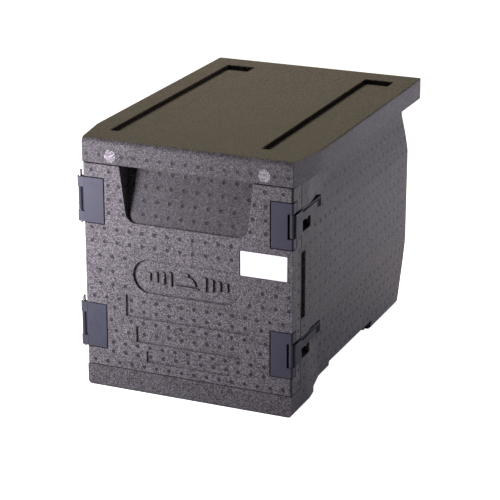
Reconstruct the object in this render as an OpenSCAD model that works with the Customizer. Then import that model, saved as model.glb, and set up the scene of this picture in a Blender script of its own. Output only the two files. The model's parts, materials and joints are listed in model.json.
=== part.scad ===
// Front-loading insulated food carrier for full-size catering pans.
// One expanded-foam body with moulded pan rails, a foam door on two pin
// hinges at the left, and two corner latches at the right.
// Millimetres. X runs to the right seen from the door, Y runs to the back,
// Z runs up, and the origin is the centre of the base.

/* [Body] */
// Width across the top slab
slab_w = 440; // [436:1:450]
// Depth from the door face to the back edge of the slab
overall_d = 640; // [636:2:660]
// Height from the floor to the top face
overall_h = 476; // [474:1:490]
// Width of the body, the door and the sill
body_w = 408; // [404:1:410]
// How far the slab overhangs the back wall
back_overhang = 20; // [12:1:24]
// Height of the slab's front band
slab_front_h = 46; // [40:1:50]
// Height of the slab's side band
slab_side_h = 40; // [34:1:40]
// Length of the slanted front corners of the slab
slab_slant = 100; // [60:5:110]
// Radius of the slab's front top edge
slab_nose_r = 10; // [6:1:14]
// Radius of the slab's other top edges
slab_edge_r = 3; // [2:0.5:5]
// Radius of the vertical back corners
back_corner_r = 12; // [8:1:16]
// Height of the sill under the door
sill_h = 41; // [36:1:46]

/* [Side grips and base] */
// How far each side leans in under the slab and towards the floor
side_lean = 17; // [10:1:18]
// Height at which the upper lean starts
grip_z0 = 326; // [310:2:340]
// Height at which the upper lean is complete
grip_z1 = 402; // [392:2:410]
// Height below which the side leans in towards the floor
base_lean_z = 157; // [140:1:170]
// Where the leaning sides start, measured from the door face
lean_start = 80; // [70:5:110]
// Length over which the lean builds up
lean_fade = 110; // [80:5:140]
// Clear height of the arch under the body
arch_h = 20; // [14:1:22]
// Clear height of the step in front of the arch
step_h = 11; // [6:1:12]
// Radius of the long bottom edges
base_edge_r = 8; // [4:1:10]

/* [Cavity] */
// Width between the cavity walls
cavity_w = 333; // [331:1:336]
// Height of the cavity
cavity_h = 357; // [354:1:360]
// Height of the cavity floor above the ground
cavity_floor = 60; // [58:1:62]
// Width between the pan rails
rail_gap_w = 305; // [300:1:310]
// Number of pan rails on each side
rail_count = 8; // [6:1:8]
// Distance from one pan rail to the next
rail_pitch = 40; // [38:1:40]
// Thickness of a pan rail
rail_t = 14; // [10:1:16]

/* [Top channels] */
// Width of each long channel in the top face
channel_w = 58; // [50:1:60]
// Distance from the centre line to the channel's inner wall
channel_x = 120; // [116:1:124]
// Depth of the channels
channel_depth = 10; // [6:1:12]

/* [Door] */
// Thickness of the door
door_t = 39.5; // [38:0.5:39.5]
// Depth of the step that enters the cavity
plug_d = 18; // [14:1:18]
// Gap between the door and the body
door_gap = 0.6; // [0.4:0.1:1]
// Width of the hand pocket at the top of the door
pocket_top_w = 260; // [240:2:264]
// Width of the hand pocket above its round corners
pocket_low_w = 238; // [220:2:240]
// Height of the hand pocket
pocket_h = 103; // [90:1:110]
// Depth of the hand pocket at the door's top edge
pocket_d = 32; // [24:1:33]
// Depth of the oval badge recess
badge_d = 4; // [2:0.5:5]
// Depth of the three bar recesses
bar_d = 3; // [1.5:0.5:4]

/* [Hinges and latches] */
// Height of the centre of the upper hardware
upper_z = 359.5; // [352:0.5:362]
// Height of the centre of the lower hardware
lower_z = 118.5; // [110:0.5:124]
// Height of a corner plate
plate_h = 86; // [80:1:88]
// Width of a corner plate on the door face
plate_w = 42; // [36:1:44]
// Thickness of a corner plate
plate_t = 3; // [2.5:0.5:3.5]
// Height of the gap between a plate's knuckles
knuckle_gap = 46; // [44:1:48]
// Radius of a hinge pin
hinge_pin_r = 3; // [2.5:0.1:3.2]
// Radius of a latch pin
latch_pin_r = 2; // [1.6:0.1:2.2]
// Radial running clearance on the pins
pin_play = 0.05; // [0.03:0.01:0.08]

/* [Hidden] */
$fn = 64;

half_w = body_w / 2;                      // side face of the body
front_y = -overall_d / 2;                 // door face
back_y = overall_d / 2 - back_overhang;   // back face of the body
frame_y = front_y + 40;                   // face that the door closes against
slab_z = overall_h - slab_front_h;        // underside of the slab above the door
side_z = overall_h - slab_side_h;         // underside of the slab at the sides
lean_x = half_w - side_lean;
cavity_y1 = 256;                          // back wall of the cavity
rail_y0 = frame_y + 22;                   // front end of the pan rails
first_rail_z = cavity_floor + 30;         // top of the lowest rail
door_z0 = sill_h + door_gap;
door_z1 = slab_z - door_gap;
far = 60;                                 // how far a cutter runs past the solid

// Hinge axis at the left, latch axis at the right, steel bar of each anchor
hinge_x = -half_w - 7;
hinge_y = front_y + 6;
latch_x = half_w - 2.5;
latch_y = front_y + 7.5;
bar_x = half_w - 7.4;
bar_y = front_y + 80;
bar_r = 2;

// Heights below are measured from the centre of each set of hardware
knuckle_z = knuckle_gap / 2;
arm_z0 = 2;
arm_z1 = 16.5;
tray_z0 = -1.2;
tray_z1 = 19.7;
tray_wall = 2.5;
tray_y0 = frame_y + 0.8;
tray_y1 = frame_y + 97;
tray_step_y = frame_y + 51.5;
tray_deep_x = half_w - 14;
tray_shallow_x = half_w - 8;
tray_face_x = half_w - 0.2;
finger_z0 = -21.5;
finger_depth = 17;
finger_y1 = frame_y + 45;
arm_end_y = tray_y1 - 4;

foam_front = [0.49, 0.46, 0.50];
foam_body = [0.38, 0.37, 0.38];
nylon_blue = [0.44, 0.44, 0.51];
nylon_dark = [0.32, 0.31, 0.37];
steel = [0.75, 0.76, 0.78];
card_white = [0.97, 0.97, 0.97];

// A box from its lowest to its highest corner
module block(lo, hi) { translate(lo) cube([hi.x - lo.x, hi.y - lo.y, hi.z - lo.z]); }

// Outline in X and Z, run from y0 to y1
module along_y(outline, y0, y1) {
  translate([0, y1, 0]) rotate([90, 0, 0]) linear_extrude(y1 - y0) polygon(outline);
}

// Outline in Y and Z, run from x0 to x1
module along_x(outline, x0, x1) {
  translate([x0, 0, 0]) rotate([90, 0, 90]) linear_extrude(x1 - x0) polygon(outline);
}

// Outline in X and Y, run from z0 to z1
module along_z(outline, z0, z1) { translate([0, 0, z0]) linear_extrude(z1 - z0) polygon(outline); }

// An upright round bar
module post(x, y, r, z0, z1) { translate([x, y, z0]) cylinder(r = r, h = z1 - z0); }

// Points along an arc about c, from angle a0 to a1
function arc(c, r, a0, a1, steps = 8) =
  [for (i = [0 : steps]) let (a = a0 + (a1 - a0) * i / steps) [c.x + r * cos(a), c.y + r * sin(a)]];

module both_sides() {
  children();
  mirror([1, 0, 0]) children();
}

// Removes a sharp corner that runs along Y, leaving radius r; the solid lies at -X and -Z
module round_along_y(x, z, r, y0, y1) {
  difference() {
    block([x - r, y0, z - r], [x + 1, y1, z + 1]);
    translate([x - r, y0 - 1, z - r]) rotate([-90, 0, 0]) cylinder(r = r, h = y1 - y0 + 2);
  }
}

// ---- body ----

function slab_outline() = concat(
  [[-half_w, front_y], [half_w, front_y], [slab_w / 2, front_y + slab_slant]],
  arc([slab_w / 2 - back_corner_r, overall_d / 2 - back_corner_r], back_corner_r, 0, 90),
  arc([-slab_w / 2 + back_corner_r, overall_d / 2 - back_corner_r], back_corner_r, 90, 180),
  [[-slab_w / 2, front_y + slab_slant]]
);

module slab() {
  top = overall_h;
  r = slab_nose_r;
  difference() {
    intersection() {
      along_z(slab_outline(), slab_z, top);
      along_x([
        [front_y, slab_z], [frame_y, slab_z], [front_y + slab_slant, side_z],
        [overall_d / 2, side_z], [overall_d / 2, top], [front_y, top]
      ], -slab_w / 2 - 1, slab_w / 2 + 1);
    }
    difference() {
      block([-slab_w, front_y - 1, top - r], [slab_w, front_y + r, top + 1]);
      translate([-slab_w - 1, front_y + r, top - r]) rotate([0, 90, 0]) cylinder(r = r, h = 2 * slab_w + 2);
    }
    both_sides() round_along_y(slab_w / 2, top, slab_edge_r, front_y - 1, overall_d / 2 + 1);
    rotate([0, 0, 90]) round_along_y(overall_d / 2, top, slab_edge_r, -slab_w, slab_w);
  }
}

module channels() {
  both_sides() block([channel_x, front_y + 60, overall_h - channel_depth],
                     [channel_x + channel_w, overall_d / 2 - 52, overall_h + 1]);
}

function body_outline() = concat(
  [[-half_w, frame_y], [half_w, frame_y]],
  arc([half_w - back_corner_r, back_y - back_corner_r], back_corner_r, 0, 90),
  arc([-half_w + back_corner_r, back_y - back_corner_r], back_corner_r, 90, 180)
);

// Material taken off each side so that it leans in under the slab and towards the floor
module side_leans() {
  y0 = front_y + lean_start;
  out = half_w + far;
  both_sides() intersection() {
    along_z([[half_w, y0], [lean_x - 2, y0 + lean_fade], [lean_x - 2, back_y + far],
             [out, back_y + far], [out, y0]], -1, side_z);
    union() {
      along_y([[half_w, grip_z0], [lean_x, grip_z1], [lean_x, side_z], [out, side_z], [out, grip_z0]],
              y0 - 1, back_y + far);
      along_y([[half_w, base_lean_z], [out, base_lean_z], [out, -1], [lean_x - 1, -1]],
              y0 - 1, back_y + far);
    }
  }
}

// The front of the base is full width; behind it the underside steps up into an arch
module arch() {
  out = slab_w;
  arch_y0 = front_y + 229;
  foot_y0 = front_y + 459;
  block([-out, front_y + 127, -1], [out, arch_y0, step_h]);
  difference() {
    block([-out, arch_y0 - 1, -1], [out, foot_y0, arch_h]);
    block([-lean_x + 11, foot_y0 - 12, -2], [lean_x - 11, foot_y0 + 1, arch_h + 1]);
  }
}

// Cavity with the pan rails left standing on both walls
module cavity() {
  w = cavity_w / 2;
  difference() {
    block([-w, frame_y - 1, cavity_floor], [w, cavity_y1, cavity_floor + cavity_h]);
    for (i = [0 : rail_count - 1]) {
      z = first_rail_z + i * rail_pitch;
      both_sides() block([rail_gap_w / 2, rail_y0, z - rail_t], [w + 1, cavity_y1 + 1, z]);
    }
  }
}

// Pockets in the side wall that hold a hinge anchor or a latch keeper
module tray_pocket(zc, finger) {
  g = 0.1;
  block([tray_deep_x - g, frame_y - 1, zc + tray_z0 - g], [half_w + far, tray_step_y + g, zc + tray_z1 + g]);
  block([tray_shallow_x - g, tray_step_y - 1, zc + tray_z0 - g], [half_w + far, tray_y1 + g, zc + tray_z1 + g]);
  if (finger) {
    block([half_w - finger_depth, frame_y + 3, zc + finger_z0], [half_w + far, finger_y1, zc + tray_z0]);
  }
  post(bar_x, bar_y, bar_r + pin_play, zc + tray_z1 - 1, zc + tray_z1 + 2);
}

module body_shell() color(foam_body) difference() {
  union() {
    slab();
    along_z(body_outline(), 0, side_z + 1);
    block([-half_w, front_y, 0], [half_w, frame_y + 1, sill_h]);
  }
  channels();
  side_leans();
  arch();
  cavity();
  for (zc = [upper_z, lower_z]) {
    tray_pocket(zc, true);
    mirror([1, 0, 0]) tray_pocket(zc, false);
  }
  // Upright finger slot behind the free edge of the door
  block([half_w - 14, frame_y + 2, 175], [half_w + far, frame_y + 19, 300]);
  // Long bottom edges, front edge and the back edge of the rear foot
  both_sides() mirror([0, 0, 1]) {
    round_along_y(half_w, 0, base_edge_r, front_y - 1, front_y + lean_start + 47);
    round_along_y(lean_x, 0, base_edge_r, front_y + 229, back_y + 1);
  }
}

// ---- door ----

function pocket_outline(z) = let (r = 20, w = pocket_low_w / 2, b = z - pocket_h) concat(
  [[pocket_top_w / 2, z + 1], [-pocket_top_w / 2, z + 1]],
  arc([-w + r, b + r], r, 190, 270),
  arc([w - r, b + r], r, 270, 350)
);

module hand_pocket() {
  z = door_z1;
  intersection() {
    along_y(pocket_outline(z), front_y - 1, front_y + door_t);
    along_x([[front_y - 2, z - pocket_h - 1], [front_y + 3, z - pocket_h - 1],
             [front_y + pocket_d, z + 1], [front_y - 2, z + 1]],
            -pocket_top_w, pocket_top_w);
  }
}

module oval_badge(depth) {
  r = 32;
  x = 106 - r;
  z = 228.7;
  for (s = [-1, 1]) translate([s * x, front_y + depth, z]) rotate([90, 0, 0]) cylinder(r = r, h = depth + 1);
  block([-x, front_y - 1, z - r], [x, front_y + depth, z + r]);
}

// Three bars, each lower and narrower than the one above
module bars() {
  for (bar = [[122, 145.7, 187.7], [102, 98, 129], [82, 61, 82.3]]) {
    block([-bar[0], front_y - 1, bar[1]], [bar[0], front_y + bar_d, bar[2]]);
  }
}

// The step on the back of the door, drawn in a little towards its end to clear the swing
module plug() {
  root_y = front_y + door_t;
  tip_y = root_y + plug_d;
  root_w = cavity_w / 2 - 2;
  tip_w = cavity_w / 2 - 4.5;
  intersection() {
    along_z([[-root_w, root_y - 1], [root_w, root_y - 1], [tip_w, tip_y], [-tip_w, tip_y]],
            cavity_floor + 2, cavity_floor + cavity_h - 2);
    along_x([[root_y - 1, cavity_floor + 2], [tip_y, cavity_floor + 4],
             [tip_y, cavity_floor + cavity_h - 4], [root_y - 1, cavity_floor + cavity_h - 2]],
            -cavity_w, cavity_w);
  }
}

// Room in the door's right corner for a latch plate and its lever
module latch_seat(zc) {
  g = 0.7;
  e = plate_h / 2 + g;
  block([half_w - plate_w - g, front_y - 1, zc - e], [half_w + 1, front_y + plate_t, zc + e]);
  block([half_w - plate_t, front_y - 1, zc - e], [half_w + 1, front_y + 18 + g, zc + e]);
  block([half_w - 9, front_y - 1, zc - e], [half_w + 1, front_y + 14, zc + e]);
  block([half_w - 10.5, front_y - 1, zc - knuckle_z], [half_w + 1, front_y + 20, zc + knuckle_z]);
}

// Room in the door's left corner for a hinge plate and the fixed arm
module hinge_seat(zc) {
  g = 0.7;
  e = plate_h / 2 + g;
  block([-half_w - 1, front_y - 1, zc - e], [-half_w + plate_w + g, front_y + plate_t, zc + e]);
  block([-half_w - 1, front_y - 1, zc - e], [-half_w + plate_t, front_y + 18 + g, zc + e]);
  block([-half_w - 1, front_y - 1, zc - knuckle_z], [-half_w + 8, front_y + door_t + 1, zc + knuckle_z]);
}

module label_recess() {
  block([103, front_y - 1, 256.5], [half_w + 1, front_y + 1.2, 304.5]);
}

module door_panel() color(foam_front) difference() {
  union() {
    block([-half_w, front_y, door_z0], [half_w, front_y + door_t, door_z1]);
    plug();
  }
  hand_pocket();
  oval_badge(badge_d);
  bars();
  label_recess();
  for (zc = [upper_z, lower_z]) {
    latch_seat(zc);
    hinge_seat(zc);
  }
}

module label_card() color(card_white)
  block([104.5, front_y + 0.5, 257.5], [193.5, front_y + 1.2, 303.5]);

// ---- hardware ----

// L-shaped nylon plate that wraps the door's corner, drawn for the right side
module corner_plate() {
  e = plate_h / 2;
  block([half_w - plate_w, front_y, -e], [half_w, front_y + plate_t, e]);
  block([half_w - plate_t, front_y, -e], [half_w, front_y + 18, e]);
}

module hinge_plate(zc) color(nylon_blue) translate([0, 0, zc]) difference() {
  union() {
    mirror([1, 0, 0]) corner_plate();
    for (z = [-plate_h / 2, knuckle_z]) {
      post(hinge_x, hinge_y, 5.8, z, z + plate_h / 2 - knuckle_z);
      block([hinge_x, front_y, z], [-half_w + 1, front_y + 9, z + plate_h / 2 - knuckle_z]);
    }
  }
  post(hinge_x, hinge_y, hinge_pin_r + pin_play, -plate_h, plate_h);
  // Gap for the arm's knuckle and web
  block([hinge_x - 10, front_y - 1, -knuckle_z], [-half_w, front_y + 20, knuckle_z]);
  block([hinge_x - 10, front_y + plate_t, -knuckle_z], [-half_w + plate_t + 1, front_y + 20, knuckle_z]);
}

// Fixed arm from the hinge pin back to its anchor, flush with the side wall
module hinge_arm(zc) color(nylon_dark) translate([0, 0, zc]) difference() {
  union() {
    post(hinge_x, hinge_y, 4.6, -22, 22);
    block([hinge_x, hinge_y - 2, -22], [-half_w + 4, hinge_y + 5.5, 22]);
    block([-half_w - 0.3, hinge_y - 2, -22], [-half_w + 4, frame_y - 1, 22]);
    block([-half_w - 0.3, frame_y - 2, arm_z0], [-half_w + 4, arm_end_y, arm_z1]);
    post(-bar_x, bar_y, 3.6, arm_z0, arm_z1);
  }
  post(hinge_x, hinge_y, hinge_pin_r + pin_play, -plate_h, plate_h);
  post(-bar_x, bar_y, bar_r + pin_play, -plate_h, plate_h);
}

// Steel hinge pin, which stands proud of the plate so that it can be drawn out
module hinge_pin(zc) color(steel) {
  post(hinge_x, hinge_y, hinge_pin_r, zc - plate_h / 2 - 4, zc + plate_h / 2 + 12);
}

// Nylon tray set into the side wall, with a hole in each lip for the steel bar
module anchor_tray() {
  difference() {
    union() {
      block([tray_deep_x, tray_y0, tray_z0], [tray_face_x, tray_step_y, tray_z1]);
      block([tray_shallow_x, tray_step_y - 1, tray_z0], [tray_face_x, tray_y1, tray_z1]);
    }
    block([tray_deep_x + tray_wall, tray_y0 - 1, tray_z0 + tray_wall],
          [half_w + 1, tray_step_y - tray_wall, tray_z1 - tray_wall]);
    block([tray_shallow_x + tray_wall, tray_y0 - 1, tray_z0 + tray_wall],
          [half_w + 1, tray_y1 - tray_wall, tray_z1 - tray_wall]);
    post(bar_x, bar_y, bar_r + pin_play, -plate_h, plate_h);
  }
}

module latch_keeper(zc) color(nylon_dark) translate([0, 0, zc]) anchor_tray();
module hinge_anchor(zc) color(nylon_dark) translate([0, 0, zc]) mirror([1, 0, 0]) anchor_tray();

module keeper_pin(zc) color(steel) post(bar_x, bar_y, bar_r, zc - 9, zc + tray_z1 + 1.8);
module anchor_pin(zc) color(steel) post(-bar_x, bar_y, bar_r, zc + tray_z0, zc + tray_z1 + 1.8);

module latch_plate(zc) color(nylon_dark) translate([0, 0, zc]) difference() {
  union() {
    corner_plate();
    for (z = [-plate_h / 2, knuckle_z]) {
      block([half_w - 8.4, front_y, z], [half_w + 0.4, front_y + 13.4, z + plate_h / 2 - knuckle_z]);
    }
  }
  post(latch_x, latch_y, latch_pin_r + pin_play, -plate_h, plate_h);
  block([half_w - 10.5, front_y - 1, -knuckle_z], [half_w + 1, front_y + 20, knuckle_z]);
}

// Lever that turns on the latch pin and reaches back along the side wall into its keeper
module latch_lever(zc) color(nylon_dark) translate([0, 0, zc]) difference() {
  bar_end = 6.7;
  inner = half_w + 0.6;
  outer = latch_x + bar_end;
  grip = half_w - 4.6;
  union() {
    post(latch_x, latch_y, bar_end, -22, 22);
    along_z([[inner, latch_y], [outer, latch_y], [outer - 1, frame_y - 1], [inner, frame_y - 1]], -21.5, 22);
    along_z([[inner, latch_y], [outer, latch_y], [outer - 1, frame_y], [half_w + 0.2, arm_end_y],
             [grip, arm_end_y], [grip, bar_y + 5], [grip - 0.8, bar_y + 4.5], [grip - 0.8, bar_y + 3],
             [grip, bar_y + 2.5], [grip, bar_y - 2.5], [grip - 0.8, bar_y - 3], [grip - 0.8, bar_y - 4.5],
             [grip, bar_y - 5], [grip, frame_y + 3.2], [inner, frame_y - 0.2]], arm_z0, arm_z1);
    // Ribs that give the thumb a hold at the end of the arm
    for (i = [0 : 3]) {
      y = arm_end_y - 3 - i * 5;
      block([half_w - 1, y - 1.6, arm_z0 + 1], [half_w + 1.6, y, arm_z1 - 1]);
    }
  }
  post(latch_x, latch_y, latch_pin_r + pin_play, -plate_h, plate_h);
}

module latch_pin(zc) color(steel) post(latch_x, latch_y, latch_pin_r, zc - plate_h / 2 + 1, zc + plate_h / 2 - 1);

body_shell();
door_panel();
label_card();
hinge_plate(upper_z);  // hinge_plate_upper
hinge_plate(lower_z);  // hinge_plate_lower
hinge_arm(upper_z);  // hinge_arm_upper
hinge_arm(lower_z);  // hinge_arm_lower
hinge_pin(upper_z);  // hinge_pin_upper
hinge_pin(lower_z);  // hinge_pin_lower
hinge_anchor(upper_z);  // hinge_anchor_upper
hinge_anchor(lower_z);  // hinge_anchor_lower
anchor_pin(upper_z);  // hinge_anchor_pin_upper
anchor_pin(lower_z);  // hinge_anchor_pin_lower
latch_plate(upper_z);  // latch_plate_upper
latch_plate(lower_z);  // latch_plate_lower
latch_lever(upper_z);  // latch_lever_upper
latch_lever(lower_z);  // latch_lever_lower
latch_pin(upper_z);  // latch_pin_upper
latch_pin(lower_z);  // latch_pin_lower
latch_keeper(upper_z);  // latch_keeper_upper
latch_keeper(lower_z);  // latch_keeper_lower
keeper_pin(upper_z);  // latch_keeper_pin_upper
keeper_pin(lower_z);  // latch_keeper_pin_lower
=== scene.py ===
# %% [markdown]
# # An insulated food carrier
#
# The real object is a box that a kitchen uses to carry hot pans. Its body and its door are moulded
# from expanded foam beads, steamed until they fuse, so every face shows the beads and the round
# marks of the steam vents. The hinges and latches are nylon, turning on steel pins.
#
# The hard sizes already exist as a frame of solids, and this lesson gives them their looks. Each
# piece of the frame is copied, its edges are rounded as a mould would round them, the small marks
# are cut in, and a finish is made for it from shader nodes.

# %% Load the frame
import json
import math

import bmesh
import bpy
import numpy as np
from mathutils import Matrix, Vector
from mathutils.bvhtree import BVHTree

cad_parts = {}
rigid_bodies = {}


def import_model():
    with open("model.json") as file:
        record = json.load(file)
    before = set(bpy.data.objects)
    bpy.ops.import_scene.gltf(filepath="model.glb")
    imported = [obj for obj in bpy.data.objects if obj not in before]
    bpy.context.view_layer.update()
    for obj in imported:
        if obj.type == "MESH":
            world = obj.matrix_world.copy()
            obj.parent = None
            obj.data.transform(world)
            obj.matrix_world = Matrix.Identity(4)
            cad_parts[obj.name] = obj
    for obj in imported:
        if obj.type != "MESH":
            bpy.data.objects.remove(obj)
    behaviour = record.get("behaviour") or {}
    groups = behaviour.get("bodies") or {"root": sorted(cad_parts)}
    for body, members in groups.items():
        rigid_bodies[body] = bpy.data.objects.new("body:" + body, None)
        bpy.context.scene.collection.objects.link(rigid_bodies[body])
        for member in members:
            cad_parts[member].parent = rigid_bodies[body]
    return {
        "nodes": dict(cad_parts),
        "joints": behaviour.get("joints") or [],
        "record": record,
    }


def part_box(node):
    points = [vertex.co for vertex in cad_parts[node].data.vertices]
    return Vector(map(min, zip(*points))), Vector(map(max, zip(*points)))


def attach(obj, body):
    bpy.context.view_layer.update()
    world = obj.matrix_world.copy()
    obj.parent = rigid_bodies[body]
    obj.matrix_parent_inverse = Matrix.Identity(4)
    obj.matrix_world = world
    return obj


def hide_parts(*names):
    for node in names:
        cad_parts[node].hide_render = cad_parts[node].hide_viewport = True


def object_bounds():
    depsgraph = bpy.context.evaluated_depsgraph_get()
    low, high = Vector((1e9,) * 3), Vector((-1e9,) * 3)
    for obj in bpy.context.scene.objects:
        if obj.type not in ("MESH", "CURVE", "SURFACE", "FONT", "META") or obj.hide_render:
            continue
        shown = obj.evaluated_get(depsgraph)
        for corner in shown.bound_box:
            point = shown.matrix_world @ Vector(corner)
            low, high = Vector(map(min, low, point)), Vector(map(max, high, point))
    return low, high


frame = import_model()
frame_lo, frame_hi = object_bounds()
MM = 0.001
print("frame, mm:", [round((b - a) / MM, 1) for a, b in zip(frame_lo, frame_hi)])

# %% [markdown]
# ## The camera and the studio
#
# A product picture of a box is taken with a long lens, from a little to the right and above, so
# that the upright edges stay almost parallel. The camera is placed by turning a direction about
# the object: `azimuth` swings it round and `elevation` lifts it. Sliding it sideways, instead of
# shifting the lens, frames the box without changing the perspective.

# %% Place the camera
AZIMUTH = math.radians(23.291)
ELEVATION = math.radians(19.434)
DISTANCE = 3.74718
SLIDE_RIGHT = -0.01337
SLIDE_UP = -0.048313
LENS = 140.13

back = Vector((math.sin(AZIMUTH) * math.cos(ELEVATION),
               -math.cos(AZIMUTH) * math.cos(ELEVATION),
               math.sin(ELEVATION)))
right = Vector((math.cos(AZIMUTH), math.sin(AZIMUTH), 0))
up = back.cross(right)
middle = Vector((0, 0, (frame_hi.z + frame_lo.z) / 2))

camera = bpy.data.objects.new("camera", bpy.data.cameras.new("camera"))
bpy.context.scene.collection.objects.link(camera)
camera.data.lens = LENS
camera.location = middle + back * DISTANCE + right * SLIDE_RIGHT + up * SLIDE_UP
camera.rotation_mode = "QUATERNION"
camera.rotation_quaternion = (-back).to_track_quat("-Z", "Y")
bpy.context.scene.camera = camera
bpy.context.scene.view_settings.view_transform = "Standard"
print("camera at", [round(v, 3) for v in camera.location])

# %% [markdown]
# The light is plain and soft. The walls of a studio are the world colour: the lens sees them white,
# and the object gets almost none of it, so seams stay dark. One panel stands close at the front
# left, and its light fades across the door. A broad, warmer one hangs above the top, a little
# behind, and a low, cool one stands at the back right.

# %% Light the studio
def soft_panel(name, place, aim, size, watts, tint):
    """A square area light at place that faces aim."""
    light = bpy.data.lights.new(name, "AREA")
    light.size = size
    light.energy = watts
    light.color = tint
    lamp = bpy.data.objects.new(name, light)
    lamp.location = place
    lamp.rotation_mode = "QUATERNION"
    lamp.rotation_quaternion = (Vector(aim) - Vector(place)).to_track_quat("-Z", "Y")
    lamp.visible_camera = False
    bpy.context.scene.collection.objects.link(lamp)
    return lamp


def studio_world(fill, tint):
    """White to the camera, and a tinted fill light to everything else."""
    world = bpy.data.worlds.new("studio")
    world.use_nodes = True
    nodes = world.node_tree.nodes
    links = world.node_tree.links
    seen = nodes.new("ShaderNodeLightPath")
    wall = nodes.new("ShaderNodeBackground")
    shade = nodes["Background"]
    mix = nodes.new("ShaderNodeMixShader")
    wall.inputs["Color"].default_value = (1, 1, 1, 1)
    shade.inputs["Color"].default_value = (*tint, 1)
    shade.inputs["Strength"].default_value = fill
    links.new(seen.outputs["Is Camera Ray"], mix.inputs["Fac"])
    links.new(shade.outputs["Background"], mix.inputs[1])
    links.new(wall.outputs["Background"], mix.inputs[2])
    links.new(mix.outputs["Shader"], nodes["World Output"].inputs["Surface"])
    bpy.context.scene.world = world


NEUTRAL = (1.0, 1.0, 1.0)
LILAC = (0.95, 0.89, 1.0)
WARM = (1.0, 0.87, 0.62)
COOL = (0.9, 0.87, 1.0)
FILL = 0.04

studio_world(FILL, NEUTRAL)
key = soft_panel("key_panel", (-0.7, -0.9, 0.38), (-0.05, -0.3, 0.45), 0.3, 10.0, LILAC)
key.data.spread = math.radians(120)
soft_panel("top_panel", (-0.45, 0.85, 1.7), (0, 0, 0.4), 1.1, 25.5, WARM)
soft_panel("side_panel", (1.15, 1.05, 0.17), (0.2, 0, 0.12), 0.32, 15.0, COOL)
print("lights:", [light.name for light in bpy.data.lights])

# %% [markdown]
# ## A few tools for shader nodes
#
# A finish that more than one material shares is a node group: a small machine with named inputs
# and outputs. The first helper makes a group with its sockets, and the second adds a node and
# plugs it in by name.

# %% Make a node group and plug nodes together
def node_group(name, inputs, outputs):
    """A shader node group; inputs are (name, kind, value) and outputs (name, kind)."""
    group = bpy.data.node_groups.new(name, "ShaderNodeTree")
    for label, kind, value in inputs:
        socket = group.interface.new_socket(name=label, in_out="INPUT", socket_type="NodeSocket" + kind)
        socket.default_value = value
    for label, kind in outputs:
        group.interface.new_socket(name=label, in_out="OUTPUT", socket_type="NodeSocket" + kind)
    return group, group.nodes.new("NodeGroupInput"), group.nodes.new("NodeGroupOutput")


def plug(tree, kind, values=None, **settings):
    """Adds a node, sets its properties, and links or sets the inputs given in values."""
    node = tree.nodes.new("ShaderNode" + kind)
    for key, value in settings.items():
        setattr(node, key, value)
    for key, value in (values or {}).items():
        if isinstance(value, bpy.types.NodeSocket):
            tree.links.new(value, node.inputs[key])
        else:
            node.inputs[key].default_value = value
    return node


# %% [markdown]
# Three more helpers name the steps that come up in every finish: one sum, a value moved from one
# range to another, and two colours mixed. A tree written with them reads like a recipe.

# %% Sums, ramps and mixes
def maths(tree, operation, a, b=0.0):
    """One step of arithmetic on two values or sockets."""
    return plug(tree, "Math", {0: a, 1: b}, operation=operation).outputs[0]


def ramp(tree, value, low, high, to_low=0.0, to_high=1.0):
    """Maps value from low..high to to_low..to_high, and holds it there."""
    values = {"Value": value, "From Min": low, "From Max": high, "To Min": to_low, "To Max": to_high}
    return plug(tree, "MapRange", values).outputs["Result"]


def blend_colour(tree, share, a, b, mode="MIX"):
    """Colour a turning into colour b."""
    node = plug(tree, "Mix", data_type="RGBA", blend_type=mode)
    for index, value in ((0, share), (6, a), (7, b)):
        if isinstance(value, bpy.types.NodeSocket):
            tree.links.new(value, node.inputs[index])
        else:
            node.inputs[index].default_value = value
    return node.outputs[2]


# %% [markdown]
# ## The finish of fused foam beads
#
# Up close, expanded foam is a crowd of beads about 2 mm across. Each bead took its own shade, crumbs
# of skin between them glint, and a thin dark line runs where two beads meet. Over the whole box the
# shade drifts slowly, and the corners are darkened as painted shade. A Voronoi texture is the natural
# picture of packed beads: its cell colour gives each bead a shade and its distance to the edge gives
# the dark joints. An Ambient Occlusion node finds the corners, wherever they are in the shape, and
# its result darkens the colour there as painted shade.

# %% Node group: bead foam
foam_group, foam_in, foam_out = node_group(
    "bead foam",
    [("Light", "Color", (0.2, 0.2, 0.2, 1)), ("Dark", "Color", (0.05, 0.05, 0.05, 1)),
     ("Bead size", "Float", 0.0019), ("Speckle", "Float", 0.8), ("Mottle", "Float", 0.25),
     ("Corner reach", "Float", 0.005), ("Corner shade", "Float", 0.12)],
    [("Color", "Color"), ("Roughness", "Float"), ("Height", "Float")])

place = plug(foam_group, "TexCoord").outputs["Object"]
per_metre = maths(foam_group, "DIVIDE", 1.0, foam_in.outputs["Bead size"])
crumbs_per_metre = maths(foam_group, "MULTIPLY", per_metre, 1.9)
beads = plug(foam_group, "TexVoronoi", {"Vector": place, "Scale": per_metre}, feature="F1")
crumbs = plug(foam_group, "TexVoronoi", {"Vector": place, "Scale": crumbs_per_metre}, feature="F1")
joints = plug(foam_group, "TexVoronoi", {"Vector": place, "Scale": per_metre}, feature="DISTANCE_TO_EDGE")
drift = plug(foam_group, "TexNoise", {"Vector": place, "Scale": 16.0, "Detail": 3.0, "Roughness": 0.55})
corner = plug(foam_group, "AmbientOcclusion", {"Distance": foam_in.outputs["Corner reach"]}, samples=4)

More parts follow.
